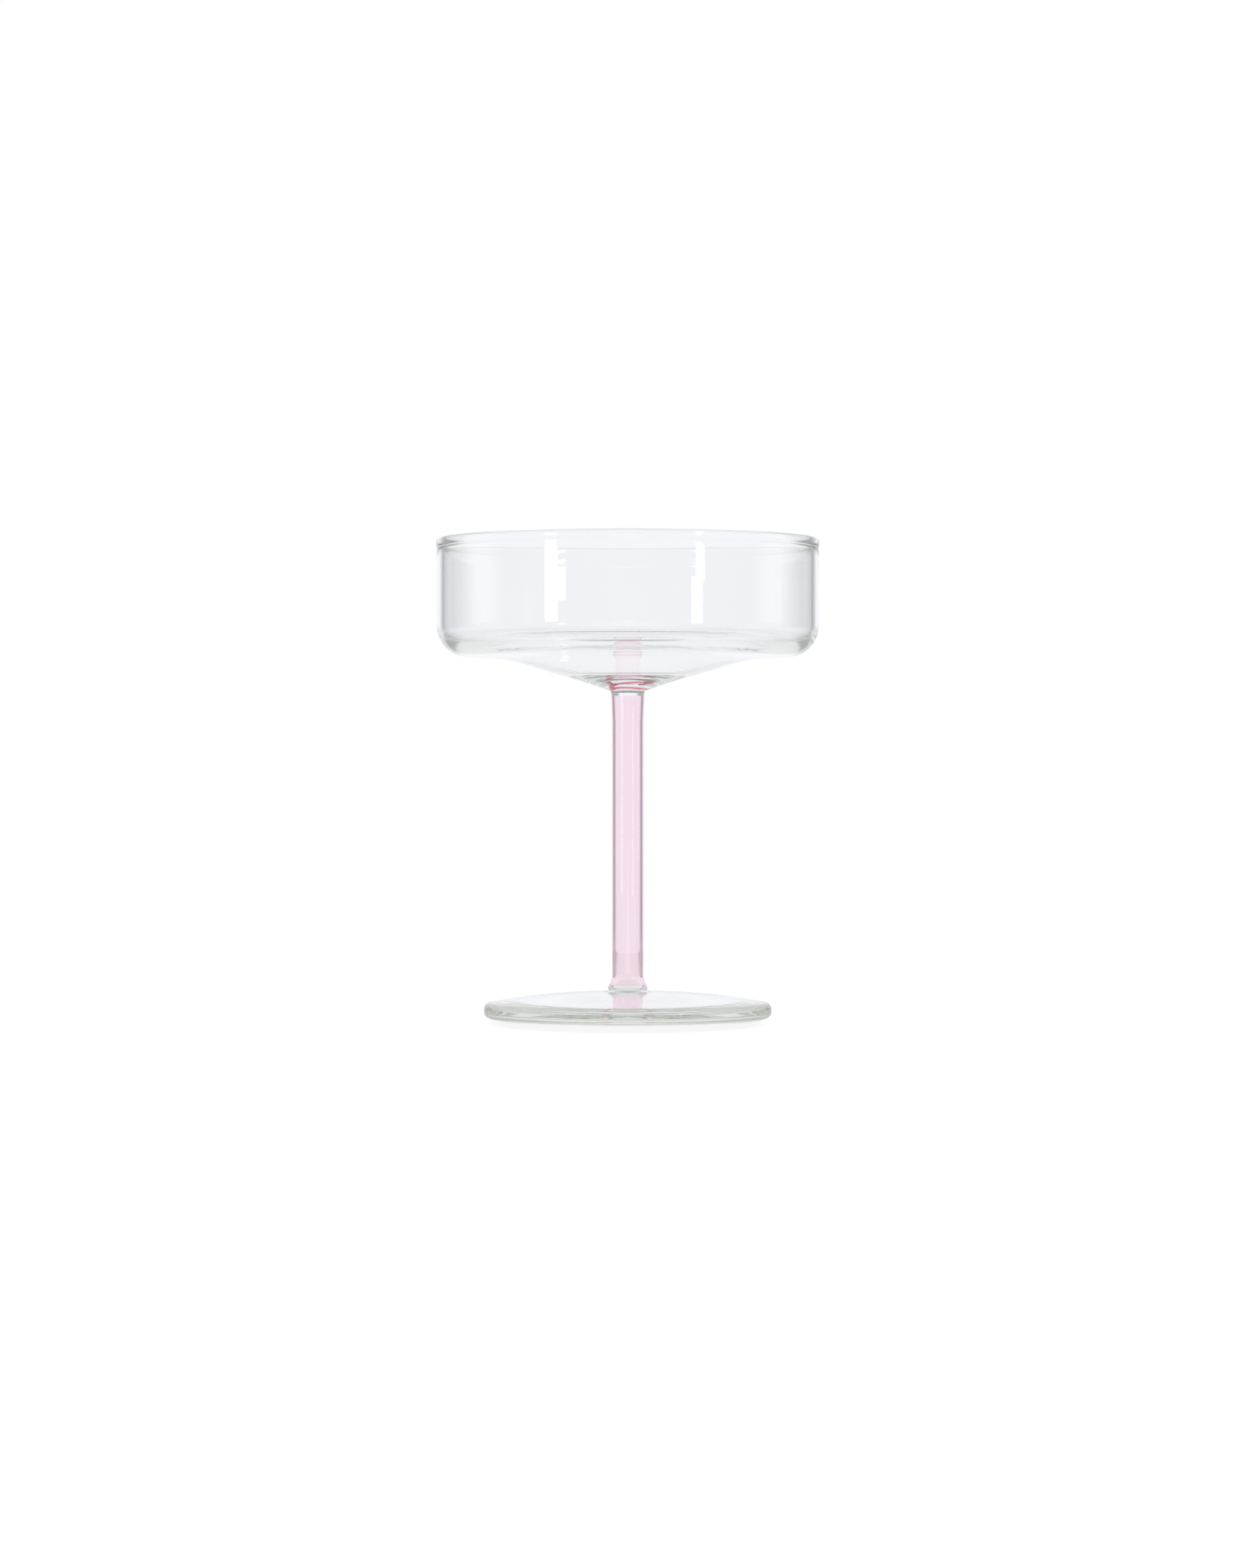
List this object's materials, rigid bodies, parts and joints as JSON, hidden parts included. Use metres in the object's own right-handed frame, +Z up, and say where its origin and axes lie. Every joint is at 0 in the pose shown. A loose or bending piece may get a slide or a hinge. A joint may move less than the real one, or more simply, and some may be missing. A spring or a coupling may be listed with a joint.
{
  "type": "champagne coupe",
  "caption": "Stemmed champagne coupe: shallow straight-sided clear bowl with a funnel bottom on a slim hollow pink stem and a thick domed clear foot, for serving sparkling wine.",
  "frame": {"origin": "on the table, under the glass's axis", "axes": "+Z up along the glass's axis; +X to the right and -Y towards the viewer of the picture"},
  "size_m": [0.1004, 0.1004, 0.1255],
  "materials": {
    "clear_glass": "clear fire-polished borosilicate glass",
    "pink_glass": "pale pink clear glass tube"
  },
  "bodies": {
    "root": {"bowl": "clear_glass", "bowl_collar": "clear_glass", "stem_tube": "pink_glass", "foot_collar": "clear_glass", "foot": "clear_glass"}
  },
  "joints": []
}
